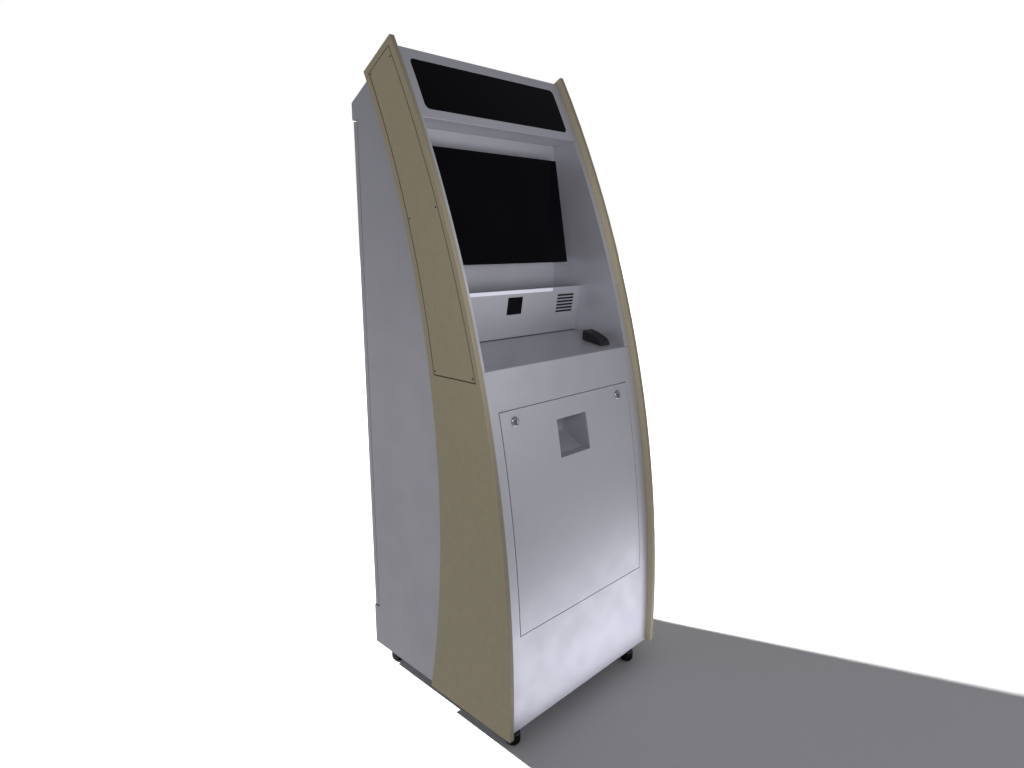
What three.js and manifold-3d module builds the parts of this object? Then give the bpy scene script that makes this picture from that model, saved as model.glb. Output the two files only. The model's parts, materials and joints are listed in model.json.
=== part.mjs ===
// Self checkout kiosk: a curved sheet-metal cabinet between two crescent side boards, standing on four feet.
// Millimetres, +Z up, front facing -Y. Inside this file y runs from the front-most plane of the boards,
// and the last group moves everything so that the origin is under the middle of the kiosk.
import * as THREE from "three";
import { mergeVertices } from "three/addons/utils/BufferGeometryUtils.js";
import Module from "manifold-3d";

const wasm = await Module();
wasm.setup();

// ---- driving dimensions ----
const WIDTH = 650; // over the side boards
const DEPTH = 627; // front of the boards to the rear strips
const BODY_BOTTOM = 65; // underside of the cabinet and boards
const BOARD = 15; // thickness of a side board
const SHEET = 2; // steel sheet
const GAP = 0.3; // between pieces that touch
const SLOT = 2; // working gap round a door

const ARC = { y: 3504, z: 161 }; // centre of the front curves
const BOARD_FRONT_R = 3504;
const BODY_FRONT_R = 3486; // the cabinet's front stands 18 mm behind the boards' edges
const REAR_ARC = { y: 2827, z: 605, r: 2560 }; // the boards' hollow rear edge
const TOP_SLOPE = THREE.MathUtils.degToRad(29);
const APEX_Z = 1821.4; // top front corner of the boards
const HEADER_TOP_Z = 1802;
const HEADER_BOTTOM_Z = 1625;
const CHEEK_X = 288; // half width of the recess

const SHELF = { frontZ: 1012, rearY: 322.3, rearZ: 1047 };
const LEDGE = { frontY: 299.3, frontZ: 1188.5, rearY: 412.3, rearZ: 1178 };
const BACK_TOP = { y: 419.6, z: 1616 };

const MONITOR = {
  halfWidth: 247,
  bottomY: 322.3,
  bottomZ: 1262,
  topY: 375.3,
  topZ: 1565,
  glass: 3,
  shell: 22,
  depth: 34,
};
const BRACKET = { halfWidth: 55, low: 110, high: 200 };
const WINDOW = { halfWidth: 270, z0: 1647.5, z1: 1776, corner: 13, thick: 3, setBack: 0.4 };
const HEADER_LAMP = { back: 30, halfWidth: 250, halfHeight: 45, tray: [-2, 8] };
const LED_STRIP = { halfWidth: 230, halfHeight: 8, depth: [-12, 0] };
const SCAN = { halfWidth: 30, z0: 1117, z1: 1167 };
const GRILLE = { x: 221, halfLength: 38.5, z0: 1113, pitch: 9.9, height: 6, count: 6 };
const LIGHT_BAR = { x0: -258, x1: 155, z0: 1177, z1: 1187.5, thick: 1.5 }; // stops short of the right grille
const SCANNER = { halfWidth: 32, halfHeight: 28, body: [4, 46], lip: 6, flange: [12, 18] };
const SPEAKER = { halfWidth: 43, halfHeight: 31, basket: [2.5, 5], magnetR: 18, magnet: [19, 32] };
const SPEAKER_CONE = { rearR: 16, frontR: 27, length: 16, middle: 12 };
const READER = { x: 234, halfWidth: 22, frontY: 155.5, rearY: 227.5, height: 29 };

const DOOR = { halfWidth: 265, z0: 333, z1: 910, skirt: 16, topSkirt: 8, pivot: 9 };
const STRIKE = 18; // depth of the flange that the front lock arms turn behind
const POCKET = { halfWidth: 61.5, z0: 754, z1: 857, lip: 28, rearY: 171.3, rampTopZ: 789, wall: 2 };
const LOCK = { x: 215, z: 880, headR: 13, bodyR: 9.5, plugR: 6, bodyLength: 20, arm: 42 };
const HINGE_PIN_R = 3; // front door

const REAR_DOOR = { z0: 200, z1: 1642, y0: 603.5, y1: 620 };
const REAR_STRIP = { lowTop: 195, highBottom: 1647 };
const REAR_HINGE = { x: 315, y: 602, r: 4.5, pinR: 2, length: 90, heights: [420, 1420] };
const REAR_LOCK = { x: -268, z: 1000, arm: 34 };
const VENT = { z: 1500, halfLength: 60, count: 8, pitch: 13, height: 5 };

const EQUIPMENT_SHELF = { z: 875, y0: 178, y1: 594, lip: 22 };
const PRINTER = { halfWidth: 58, y0: 150, y1: 350, z: 877.3 };
const LEVER = { y: 200, z: 922, length: 44, r: 5, pinR: 2.5, thick: 6 };
const ROLL = { y: 296, z: 962, r: 40, halfWidth: 40, coreR: 6.5, pinR: 4 };
const FAN = { half: 60, depth: 25, bore: 56, hubR: 20, bladeR: 53, blades: 7 };
const FOOT = { x: 260, y: 55, padR: 20, padHeight: 38, stemR: 6, stemTop: 92, nutR: 10.5 };
const INSERT = { bottomZ: 989, inset: 17.5, thick: 6, gap: 2 }; // panel let into each side board
const REAR_FLANGE = { y0: 599.5, y1: 601.5, width: 24 };
const INLET = { x: 200, z: 130, halfWidth: 22, halfHeight: 12, depth: 33, socket: [12, 8], bladePitch: 7 };
const COMPUTER = { x0: -150, x1: 130, y0: 375, y1: 585, height: 90 };
const POWER_SUPPLY = { x0: 60, x1: 230, y0: 440, y1: 570, height: 70 };

const HALF = WIDTH / 2;
const BODY_X = HALF - BOARD; // outer face of the cabinet sides
const INNER_X = BODY_X - SHEET - GAP; // room between the side panels

// ---- finishes ----
function finish(color, roughness, metalness = 0) {
  return new THREE.MeshStandardMaterial({ color, roughness, metalness });
}
const GREY = finish(0xa8a8b4, 0.5);
const TAN = finish(0x716a57, 0.7);
const BLACK = finish(0x08080a, 0.25);
const DARK = finish(0x202024, 0.6);
const STEEL = finish(0xb4b4b8, 0.35, 1);
const WHITE = finish(0xe8e8f4, 0.4);

// ---- solids ----
function solidOf(geometry) {
  const bare = geometry.clone();
  bare.deleteAttribute("normal");
  bare.deleteAttribute("uv");
  const merged = mergeVertices(bare, 1e-4);
  const vertProperties = new Float32Array(merged.attributes.position.array);
  const triVerts = new Uint32Array(merged.index.array);
  return new wasm.Manifold(new wasm.Mesh({ numProp: 3, vertProperties, triVerts }));
}

function geometryOf(solid) {
  const mesh = solid.getMesh();
  const geometry = new THREE.BufferGeometry();
  geometry.setAttribute("position", new THREE.BufferAttribute(new Float32Array(mesh.vertProperties), 3));
  geometry.setIndex(new THREE.BufferAttribute(new Uint32Array(mesh.triVerts), 1));
  return geometry;
}

const join = (first, ...rest) => geometryOf(rest.reduce((sum, g) => sum.add(solidOf(g)), solidOf(first)));
const cut = (first, ...rest) => geometryOf(rest.reduce((sum, g) => sum.subtract(solidOf(g)), solidOf(first)));

function block(x0, x1, y0, y1, z0, z1) {
  const box = new THREE.BoxGeometry(x1 - x0, y1 - y0, z1 - z0);
  return box.translate((x0 + x1) / 2, (y0 + y1) / 2, (z0 + z1) / 2);
}

function shapeOf(points) {
  return new THREE.Shape(points.map(([u, v]) => new THREE.Vector2(u, v)));
}

function extruded(shape, depth) {
  return new THREE.ExtrudeGeometry(shape, { depth, bevelEnabled: false, curveSegments: 6 });
}

// An outline of [y, z] points, extruded along X from x0 to x1.
function profile(points, x0, x1) {
  const turn = new THREE.Matrix4().makeBasis(
    new THREE.Vector3(0, 1, 0),
    new THREE.Vector3(0, 0, 1),
    new THREE.Vector3(1, 0, 0),
  );
  return extruded(shapeOf(points), x1 - x0).applyMatrix4(turn).translate(x0, 0, 0);
}

// A rectangle with rounded corners in X and Z, extruded along Y from y0 to y1.
function roundedPlate(x0, x1, z0, z1, corner, y0, y1) {
  const shape = new THREE.Shape();
  shape.moveTo(x0 + corner, z0);
  shape.lineTo(x1 - corner, z0);
  shape.absarc(x1 - corner, z0 + corner, corner, -Math.PI / 2, 0);
  shape.lineTo(x1, z1 - corner);
  shape.absarc(x1 - corner, z1 - corner, corner, 0, Math.PI / 2);
  shape.lineTo(x0 + corner, z1);
  shape.absarc(x0 + corner, z1 - corner, corner, Math.PI / 2, Math.PI);
  shape.lineTo(x0, z0 + corner);
  shape.absarc(x0 + corner, z0 + corner, corner, Math.PI, 1.5 * Math.PI);
  return extruded(shape, y1 - y0).rotateX(Math.PI / 2).translate(0, y1, 0);
}

// A round bar along "x", "y" or "z" from one end to the other, centred on the two other coordinates.
function bar(axis, radius, from, to, a, b, sides = 24) {
  const rod = new THREE.CylinderGeometry(radius, radius, to - from, sides);
  const middle = (from + to) / 2;
  if (axis === "x") return rod.rotateZ(Math.PI / 2).translate(middle, a, b);
  if (axis === "y") return rod.translate(a, middle, b);
  return rod.rotateX(Math.PI / 2).translate(a, b, middle);
}

// ---- the curves ----
const frontY = (z, radius = BODY_FRONT_R) => ARC.y - Math.sqrt(radius ** 2 - (z - ARC.z) ** 2);
const rearY = (z) => REAR_ARC.y - Math.sqrt(REAR_ARC.r ** 2 - (z - REAR_ARC.z) ** 2);
const leanAt = (z) => Math.asin((z - ARC.z) / BODY_FRONT_R); // how far the front leans back at a height
const topZ = (y, fromY, fromZ) => fromZ - (y - fromY) * Math.tan(TOP_SLOPE);
const lerp = THREE.MathUtils.lerp;

function steps(from, to, count) {
  return Array.from({ length: count + 1 }, (_, i) => lerp(from, to, i / count));
}

const frontCurve = (z0, z1, count, radius) => steps(z0, z1, count).map((z) => [frontY(z, radius), z]);

// A curved sheet of the cabinet's front, `back` behind its outer face.
function frontSheet(z0, z1, x0, x1, count, thick = SHEET, back = 0) {
  const outer = frontCurve(z0, z1, count, BODY_FRONT_R - back);
  const inner = frontCurve(z0, z1, count, BODY_FRONT_R - back - thick);
  return profile([...inner, ...outer.reverse()], x0, x1);
}

// A folded sheet whose outer face runs through the points.
// `side` is 1 where the sheet lies to the left of it.
function foldedSheet(points, x0, x1, side = 1, thick = SHEET) {
  const normals = points.slice(1).map(([y, z], i) => {
    const along = new THREE.Vector2(y - points[i][0], z - points[i][1]).normalize();
    return new THREE.Vector2(-along.y * side, along.x * side);
  });
  const offset = points.map(([y, z], i) => {
    const before = normals[Math.max(i - 1, 0)];
    const after = normals[Math.min(i, normals.length - 1)];
    const middle = before.clone().add(after).normalize();
    const reach = thick / middle.dot(after);
    return [y + middle.x * reach, z + middle.y * reach];
  });
  const loop = [...points, ...offset.reverse()];
  return profile(THREE.ShapeUtils.isClockWise(shapeOf(loop).getPoints()) ? loop.reverse() : loop, x0, x1);
}

// Where the boards' sloping top edge meets their hollow rear edge.
function topRearCorner(startY, startZ) {
  let y = startY;
  for (let i = 0; i < 40; i += 1) y = rearY(topZ(y, startY, startZ));
  return [y, topZ(y, startY, startZ)];
}

const kiosk = new THREE.Group();
kiosk.position.y = -DEPTH / 2;

function add(name, geometry, material, parent = kiosk) {
  const mesh = new THREE.Mesh(geometry, material);
  mesh.name = name;
  parent.add(mesh);
  return mesh;
}

const mirrored = [["left", -1], ["right", 1]];

// A span of x on the left (side -1) or right (side 1), given as distances from the middle.
const span = (side, near, far) => (side > 0 ? [near, far] : [-far, -near]);

// ---- side boards with their insert panels ----
function boardOutline(inset, bottomZ) {
  const apexY = frontY(APEX_Z, BOARD_FRONT_R);
  const slack = inset / Math.cos(TOP_SLOPE);
  const frontR = BOARD_FRONT_R - inset;
  const line = (y) => topZ(y, apexY, APEX_Z) - slack;
  let zApex = APEX_Z;
  for (let i = 0; i < 40; i += 1) zApex = line(frontY(zApex, frontR));
  const rear = (z) => REAR_ARC.y - Math.sqrt((REAR_ARC.r + inset) ** 2 - (z - REAR_ARC.z) ** 2);
  let zRear = zApex;
  for (let i = 0; i < 40; i += 1) zRear = line(rear(zRear));
  const front = frontCurve(bottomZ, zApex, 24, frontR);
  const back = steps(bottomZ, zRear, 20).map((z) => [rear(z), z]);
  return [...back, ...front.reverse()];
}

for (const [name, side] of mirrored) {
  const board = profile(boardOutline(0, BODY_BOTTOM), ...span(side, BODY_X + GAP, HALF));
  const pocketX = span(side, HALF - INSERT.thick - GAP, HALF + 1);
  const pocket = profile(boardOutline(INSERT.inset, INSERT.bottomZ), ...pocketX);
  add(`${name}_side_board`, cut(board, pocket), TAN);
  const panel = boardOutline(INSERT.inset + INSERT.gap, INSERT.bottomZ + INSERT.gap);
  add(`${name}_insert_panel`, profile(panel, ...span(side, HALF - INSERT.thick, HALF)), TAN);
}

// ---- cabinet shell ----
const headerTopY = frontY(HEADER_TOP_Z);
const REAR_TOP_Z = topZ(DEPTH, headerTopY, HEADER_TOP_Z);
const SIDE_SET_BACK = SHEET + 2 * GAP; // the front panels lap over the side panels' front edges

function sidePanel(side) {
  const front = frontCurve(BODY_BOTTOM, HEADER_TOP_Z - 4, 24, BODY_FRONT_R - SIDE_SET_BACK).reverse();
  const underCover = SHEET + GAP;
  const outline = [
    [front[0][0], topZ(front[0][0], headerTopY, HEADER_TOP_Z) - underCover],
    ...front,
    [DEPTH - SHEET - GAP, BODY_BOTTOM],
    [DEPTH - SHEET - GAP, REAR_STRIP.lowTop],
    [REAR_HINGE.y - 0.5, REAR_STRIP.lowTop],
    [REAR_HINGE.y - 0.5, REAR_STRIP.highBottom],
    [DEPTH - SHEET - GAP, REAR_STRIP.highBottom],
    [DEPTH - SHEET - GAP, topZ(DEPTH - SHEET - GAP, headerTopY, HEADER_TOP_Z) - underCover],
  ];
  const skin = profile(outline, ...span(side, BODY_X - SHEET, BODY_X));
  const width = span(side, BODY_X - REAR_FLANGE.width, BODY_X - SHEET / 2);
  const flange = block(...width, REAR_FLANGE.y0, REAR_FLANGE.y1, REAR_DOOR.z0 + 10, REAR_DOOR.z1 - 10);
  return join(skin, flange);
}

for (const [name, side] of mirrored) add(`${name}_side_panel`, sidePanel(side), GREY);

const baseFrontY = frontY(BODY_BOTTOM) + SHEET + GAP;
const basePlate = block(-INNER_X, INNER_X, baseFrontY, DEPTH - SHEET - 2 * GAP, BODY_BOTTOM, BODY_BOTTOM + 3);
const footPlaces = [
  ["front_left", -FOOT.x, FOOT.y],
  ["front_right", FOOT.x, FOOT.y],
  ["rear_left", -FOOT.x, DEPTH - FOOT.y + 9],
  ["rear_right", FOOT.x, DEPTH - FOOT.y + 9],
];
const stemHole = [FOOT.stemR + GAP, BODY_BOTTOM - 5, BODY_BOTTOM + 10];
const stemHoles = footPlaces.map(([, x, y]) => bar("z", ...stemHole, x, y));
add("base_plate", cut(basePlate, ...stemHoles), GREY);

const coverEdge = BODY_X - 0.5;
const coverRearY = DEPTH - GAP - SHEET;
const coverLine = [
  [coverRearY, topZ(coverRearY, headerTopY, HEADER_TOP_Z)],
  [headerTopY + SHEET + GAP, topZ(headerTopY + SHEET + GAP, headerTopY, HEADER_TOP_Z)],
];
add("top_cover", foldedSheet(coverLine, -coverEdge, coverEdge, 1), GREY);

function rearStrip(z0, z1) {
  return block(-coverEdge, coverEdge, DEPTH - SHEET, DEPTH, z0, z1);
}

// A block centred on the mains inlet.
function atInlet(halfWidth, halfHeight, y0, y1, x = INLET.x) {
  return block(x - halfWidth, x + halfWidth, y0, y1, INLET.z - halfHeight, INLET.z + halfHeight);
}
const inletHole = atInlet(INLET.halfWidth + SHEET, INLET.halfHeight + SHEET, DEPTH - 10, DEPTH + 10);
add("rear_top_panel", rearStrip(REAR_STRIP.highBottom, REAR_TOP_Z - GAP), GREY);
add("rear_bottom_panel", cut(rearStrip(BODY_BOTTOM, REAR_STRIP.lowTop), inletHole), GREY);

function powerInlet() {
  const face = DEPTH - 1;
  const body = atInlet(INLET.halfWidth, INLET.halfHeight, face - INLET.depth, face);
  const socket = atInlet(...INLET.socket, DEPTH - 18, DEPTH + 5);
  const bladeY = [DEPTH - 19, DEPTH - 8];
  const blades = [-1, 0, 1].map((i) => atInlet(1, 2.5, ...bladeY, INLET.x + i * INLET.bladePitch));
  return join(cut(body, socket), ...blades);
}
add("power_inlet", powerInlet(), DARK);

// ---- header ----
const headerDepth = [300, 500]; // a span of y that the header lies inside

// The window's outline, smaller all round by an inset, as a block through the header.
function windowBlock(inset) {
  const x = WINDOW.halfWidth - inset;
  return roundedPlate(-x, x, WINDOW.z0 + inset, WINDOW.z1 - inset, WINDOW.corner, ...headerDepth);
}
const headerSheet = frontSheet(HEADER_BOTTOM_Z, HEADER_TOP_Z, -coverEdge, coverEdge, 6);
add("header_panel", cut(headerSheet, windowBlock(0)), GREY);

const paneShape = windowBlock(GAP);
const paneZ = [WINDOW.z0 - 5, WINDOW.z1 + 5];
const paneSheet = frontSheet(...paneZ, -CHEEK_X, CHEEK_X, 6, WINDOW.thick, WINDOW.setBack);
add("header_window", geometryOf(solidOf(paneSheet).intersect(solidOf(paneShape))), BLACK);

const lampZ = (WINDOW.z0 + WINDOW.z1) / 2;
const lamp = new THREE.Group();
lamp.position.set(0, frontY(lampZ) + HEADER_LAMP.back, lampZ);
lamp.rotation.x = -leanAt(lampZ);
kiosk.add(lamp);

// A block centred on a group's origin in x and z.
function slab(halfWidth, [y0, y1], halfHeight) {
  return block(-halfWidth, halfWidth, y0, y1, -halfHeight, halfHeight);
}
const lampTray = slab(HEADER_LAMP.halfWidth, HEADER_LAMP.tray, HEADER_LAMP.halfHeight);
const ledStrip = slab(LED_STRIP.halfWidth, LED_STRIP.depth, LED_STRIP.halfHeight);
add("header_light", join(lampTray, ledStrip), WHITE, lamp);

// ---- recess ----
const backBottom = [LEDGE.rearY, LEDGE.rearZ + GAP];
const backTop = [BACK_TOP.y, BACK_TOP.z - GAP];
const recessX = CHEEK_X - GAP;
add("recess_back_panel", foldedSheet([backBottom, backTop], -recessX, recessX, -1), GREY);

const headerBottomY = frontY(HEADER_BOTTOM_Z);
const soffitLine = [
  [BACK_TOP.y + SHEET, topZSoffit(BACK_TOP.y + SHEET)],
  [headerBottomY + SHEET + 4 * GAP, topZSoffit(headerBottomY + SHEET + 4 * GAP)],
];
function topZSoffit(y) {
  return lerp(HEADER_BOTTOM_Z, BACK_TOP.z, (y - headerBottomY) / (BACK_TOP.y - headerBottomY));
}
add("soffit_panel", foldedSheet(soffitLine, -recessX, recessX, -1), GREY);

// Each cheek is a plate beside the recess with a flange that shows as a narrow strip along its front.
function cheek(side) {
  const lap = 6;
  const front = frontCurve(SHELF.frontZ - lap, HEADER_BOTTOM_Z - GAP, 14, BODY_FRONT_R - SHEET / 2);
  const outline = [
    ...front.reverse(),
    [SHELF.rearY + lap, SHELF.rearZ - lap],
    [LEDGE.frontY + 2 * lap, LEDGE.frontZ - 3 * lap],
    [LEDGE.rearY + lap, LEDGE.rearZ - lap],
    [BACK_TOP.y + lap, BACK_TOP.z + lap],
    [headerBottomY + lap, HEADER_BOTTOM_Z + lap - 1],
    [headerBottomY + SHEET + 2 * GAP, HEADER_BOTTOM_Z - GAP],
  ];
  const plate = profile(outline, ...span(side, CHEEK_X, CHEEK_X + SHEET));
  const flange = frontSheet(SHELF.frontZ + GAP, HEADER_BOTTOM_Z - GAP, ...span(side, CHEEK_X, coverEdge), 14);
  const frontPanelRoom = block(-HALF, HALF, 0, frontY(SHELF.frontZ) + SHEET + GAP, 0, SHELF.frontZ + GAP);
  return cut(join(plate, flange), frontPanelRoom);
}
for (const [name, side] of mirrored) add(`${name}_cheek`, cheek(side), GREY);

const scannerLine = [
  [SHELF.rearY, SHELF.rearZ + SHEET],
  [LEDGE.frontY, LEDGE.frontZ],
  [LEDGE.rearY, LEDGE.rearZ],
];
const scannerSheet = foldedSheet(scannerLine, -recessX, recessX, -1);
const through = [250, 345];
const scanHole = block(-SCAN.halfWidth, SCAN.halfWidth, ...through, SCAN.z0, SCAN.z1);
const slots = mirrored.flatMap(([, side]) =>
  Array.from({ length: GRILLE.count }, (_, i) => {
    const x = side * GRILLE.x;
    const z = GRILLE.z0 + i * GRILLE.pitch - GRILLE.height / 2;
    return block(x - GRILLE.halfLength, x + GRILLE.halfLength, ...through, z, z + GRILLE.height);
  }),
);
add("scanner_panel", cut(scannerSheet, scanHole, ...slots), GREY);

// The leaning panel's front face at a height.
const panelY = (z) => lerp(SHELF.rearY, LEDGE.frontY, (z - SHELF.rearZ) / (LEDGE.frontZ - SHELF.rearZ));
const panelLean = Math.atan2(SHELF.rearY - LEDGE.frontY, LEDGE.frontZ - SHELF.rearZ);

function onPanel(z0, z1, x0, x1, near, far) {
  const outline = [
    [panelY(z0) + far, z0],
    [panelY(z1) + far, z1],
    [panelY(z1) + near, z1],
    [panelY(z0) + near, z0],
  ];
  return profile(outline, x0, x1);
}
const paneX = SCAN.halfWidth - GAP;
add("scanner_window", onPanel(SCAN.z0 + GAP, SCAN.z1 - GAP, -paneX, paneX, 0.6, 3), BLACK);
const lightBarY = [-LIGHT_BAR.thick - GAP, -GAP];
add("light_bar", onPanel(LIGHT_BAR.z0, LIGHT_BAR.z1, LIGHT_BAR.x0, LIGHT_BAR.x1, ...lightBarY), WHITE);

function behindPanel(x, z) {
  const group = new THREE.Group();
  group.position.set(x, panelY(z), z);
  group.rotation.x = panelLean;
  kiosk.add(group);
  return group;
}
const scannerMiddle = (SCAN.z0 + SCAN.z1) / 2;
const { lip } = SCANNER;
const scannerBox = slab(SCANNER.halfWidth, SCANNER.body, SCANNER.halfHeight);
const scannerFlange = slab(SCANNER.halfWidth + lip, SCANNER.flange, SCANNER.halfHeight + lip);
add("barcode_scanner", join(scannerBox, scannerFlange), DARK, behindPanel(0, scannerMiddle));
const grilleMiddle = GRILLE.z0 + ((GRILLE.count - 1) * GRILLE.pitch) / 2;
for (const [name, side] of mirrored) {
  const { rearR, frontR, length, middle } = SPEAKER_CONE;
  const cone = new THREE.CylinderGeometry(rearR, frontR, length, 24).translate(0, middle, 0);
  const magnet = bar("y", SPEAKER.magnetR, ...SPEAKER.magnet, 0, 0);
  const basket = slab(SPEAKER.halfWidth, SPEAKER.basket, SPEAKER.halfHeight);
  add(`${name}_speaker`, join(basket, cone, magnet), DARK, behindPanel(side * GRILLE.x, grilleMiddle));
}

// ---- monitor ----
const monitorTilt = Math.atan2(MONITOR.topY - MONITOR.bottomY, MONITOR.topZ - MONITOR.bottomZ);
const monitorHeight = Math.hypot(MONITOR.topY - MONITOR.bottomY, MONITOR.topZ - MONITOR.bottomZ);
const monitor = new THREE.Group();
monitor.position.set(0, MONITOR.bottomY, MONITOR.bottomZ);
monitor.rotation.x = -monitorTilt;
kiosk.add(monitor);
const halfW = MONITOR.halfWidth;
add("monitor_glass", block(-halfW, halfW, 0, MONITOR.glass, 0, monitorHeight), BLACK, monitor);
const shellFront = MONITOR.glass + GAP;
const housing = join(
  block(-halfW + 2, halfW - 2, shellFront, MONITOR.shell, 2, monitorHeight - 2),
  block(-halfW + 60, halfW - 60, MONITOR.shell - 2, MONITOR.depth, 50, monitorHeight - 40),
);
add("monitor_housing", housing, DARK, monitor);

const mountBack = MONITOR.depth + GAP;
function bracketPoint(along, depth) {
  const sin = Math.sin(monitorTilt);
  const cos = Math.cos(monitorTilt);
  return [MONITOR.bottomY + along * sin + depth * cos, MONITOR.bottomZ + along * cos - depth * sin];
}
const backPanelY = (z) => lerp(LEDGE.rearY, BACK_TOP.y, (z - LEDGE.rearZ) / (BACK_TOP.z - LEDGE.rearZ)) - GAP;
const bracketLow = bracketPoint(BRACKET.low, mountBack);
const bracketHigh = bracketPoint(BRACKET.high, mountBack);
const bracketOutline = [
  bracketLow,
  [backPanelY(bracketLow[1]), bracketLow[1]],
  [backPanelY(bracketHigh[1]), bracketHigh[1]],
  bracketHigh,
];
add("monitor_bracket", profile(bracketOutline, -BRACKET.halfWidth, BRACKET.halfWidth), DARK);

// ---- shelf and card reader ----
const shelfFrontY = frontY(SHELF.frontZ);
const shelfLine = [
  [shelfFrontY + SHEET + GAP, SHELF.frontZ],
  [SHELF.rearY + SHEET + GAP, SHELF.rearZ],
];
add("shelf_panel", foldedSheet(shelfLine, -recessX, recessX, -1), GREY);
const shelfZ = (y) => lerp(SHELF.frontZ, SHELF.rearZ, (y - shelfFrontY) / (SHELF.rearY - shelfFrontY));

function cardReader() {
  const rearBottom = shelfZ(READER.rearY) + 2 * GAP;
  const hump = steps(0, 90, 10).map((degrees) => {
    const angle = THREE.MathUtils.degToRad(degrees);
    const y = lerp(READER.rearY, READER.frontY, Math.sin(angle));
    return [y, shelfZ(y) + 2 * GAP + 2 + (READER.height - 2) * Math.cos(angle)];
  });
  const front = [READER.frontY, shelfZ(READER.frontY) + 2 * GAP];
  const outline = [front, [READER.rearY, rearBottom], ...hump];
  return profile(outline, READER.x - READER.halfWidth, READER.x + READER.halfWidth);
}
add("card_reader", cardReader(), BLACK);

// ---- front panel and door ----
const openingHole = block(
  -DOOR.halfWidth - SLOT / 2,
  DOOR.halfWidth + SLOT / 2,
  -100,
  200,
  DOOR.z0 - SLOT / 2,
  DOOR.z1 + SLOT / 2,
);
function frontPanel() {
  const skin = cut(frontSheet(BODY_BOTTOM, SHELF.frontZ - GAP, -coverEdge, coverEdge, 20), openingHole);
  const flangeZ = DOOR.z1 + SLOT / 2;
  return join(skin, frontSheet(flangeZ, flangeZ + SHEET, -DOOR.halfWidth, DOOR.halfWidth, 1, STRIKE, 0.5));
}
add("front_panel", frontPanel(), GREY);

const doorX = DOOR.halfWidth - SLOT / 2;
const doorZ0 = DOOR.z0 + SLOT / 2;
const doorZ1 = DOOR.z1 - SLOT / 2;
const pivot = { y: frontY(doorZ0) + DOOR.pivot, z: doorZ0 + DOOR.pivot };
const lockFrame = (x, z, lean, parent) => {
  const group = new THREE.Group();
  group.position.set(x, frontY(z), z);
  group.rotation.x = -lean;
  parent.add(group);
  return group;
};
const placed = (geometry, x, z) => {
  const at = lockFrame(x, z, leanAt(z), new THREE.Group());
  at.updateMatrix();
  return geometry.applyMatrix4(at.matrix);
};

function frontDoor() {
  const back = SHEET / 2; // the skirts start inside the skin, which stays one clean curve
  const deep = DOOR.skirt - back;
  const skin = frontSheet(doorZ0, doorZ1, -doorX, doorX, 14);
  const skirts = [
    frontSheet(doorZ0, doorZ1 - 4, -doorX, -doorX + SHEET, 14, deep, back),
    frontSheet(doorZ0, doorZ1 - 4, doorX - SHEET, doorX, 14, deep, back),
    frontSheet(doorZ0, doorZ0 + SHEET, -doorX, doorX, 1, deep, back),
    frontSheet(doorZ1 - SHEET, doorZ1, -doorX, doorX, 1, DOOR.topSkirt - back, back),
  ];
  const mouth = block(-POCKET.halfWidth, POCKET.halfWidth, 0, 140, POCKET.z0, POCKET.z1);
  const lockHoles = mirrored.map(([, side]) => {
    const hole = bar("y", LOCK.bodyR + GAP, -5, 10, 0, 0);
    return placed(hole, side * LOCK.x, LOCK.z);
  });
  const pinHoles = mirrored.map(([, side]) => {
    const through = span(side, doorX - 6, doorX + 6);
    return bar("x", HINGE_PIN_R + 0.1, ...through, pivot.y, pivot.z);
  });
  return cut(join(skin, ...skirts), mouth, ...lockHoles, ...pinHoles);
}
add("front_door", frontDoor(), GREY);

for (const [name, side] of mirrored) {
  const rear = frontY(pivot.z) + SHEET + GAP;
  const lug = block(...span(side, doorX + 4, doorX + 22), rear + 0.4, rear + 16, pivot.z - 8, pivot.z + 8);
  const pin = bar("x", HINGE_PIN_R, ...span(side, doorX - 6, doorX + 8), pivot.y, pivot.z);
  add(`front_hinge_${name}`, join(lug, pin), STEEL);
}

// The receipt pocket: a short flat lip, a ramp that rises to the rear, side walls
// and a roof with a paper slot.
function receiptPocket() {
  const wall = POCKET.wall;
  const back = SHEET + GAP;
  const mouthLow = frontY(POCKET.z0) + back;
  const mouthHigh = frontY(POCKET.z1) + back;
  const innerFloor = [
    [mouthLow, POCKET.z0],
    [frontY(POCKET.z0) + POCKET.lip, POCKET.z0],
    [POCKET.rearY, POCKET.rampTopZ],
    [POCKET.rearY, POCKET.z1],
    [mouthHigh, POCKET.z1],
  ];
  const outerShell = [
    [mouthLow, POCKET.z0 - wall],
    [frontY(POCKET.z0) + POCKET.lip, POCKET.z0 - wall],
    [POCKET.rearY + wall, POCKET.rampTopZ - wall],
    [POCKET.rearY + wall, POCKET.z1 + wall],
    [mouthHigh + 0.8, POCKET.z1 + wall],
  ];
  const outer = profile(outerShell, -POCKET.halfWidth - wall, POCKET.halfWidth + wall);
  innerFloor[0][0] -= 20;
  innerFloor[4][0] -= 20;
  const inner = profile(innerFloor, -POCKET.halfWidth, POCKET.halfWidth);
  const paperSlot = block(-43, 43, POCKET.rearY - 30, POCKET.rearY - 8, POCKET.z1 - 5, POCKET.z1 + 10);
  return cut(outer, inner, paperSlot);
}
add("receipt_pocket", receiptPocket(), GREY);

// A cam lock: a fixed barrel in the door and a key plug that turns with its arm. Unlocked at rest.
function lockBarrel() {
  const head = new THREE.CylinderGeometry(LOCK.headR, LOCK.headR - 2.5, 3, 24).translate(0, -GAP - 1.5, 0);
  const body = bar("y", LOCK.bodyR, -1, LOCK.bodyLength, 0, 0);
  const bore = bar("y", LOCK.plugR + 0.15, -10, LOCK.bodyLength + 10, 0, 0);
  return cut(join(head, body), bore);
}

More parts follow.
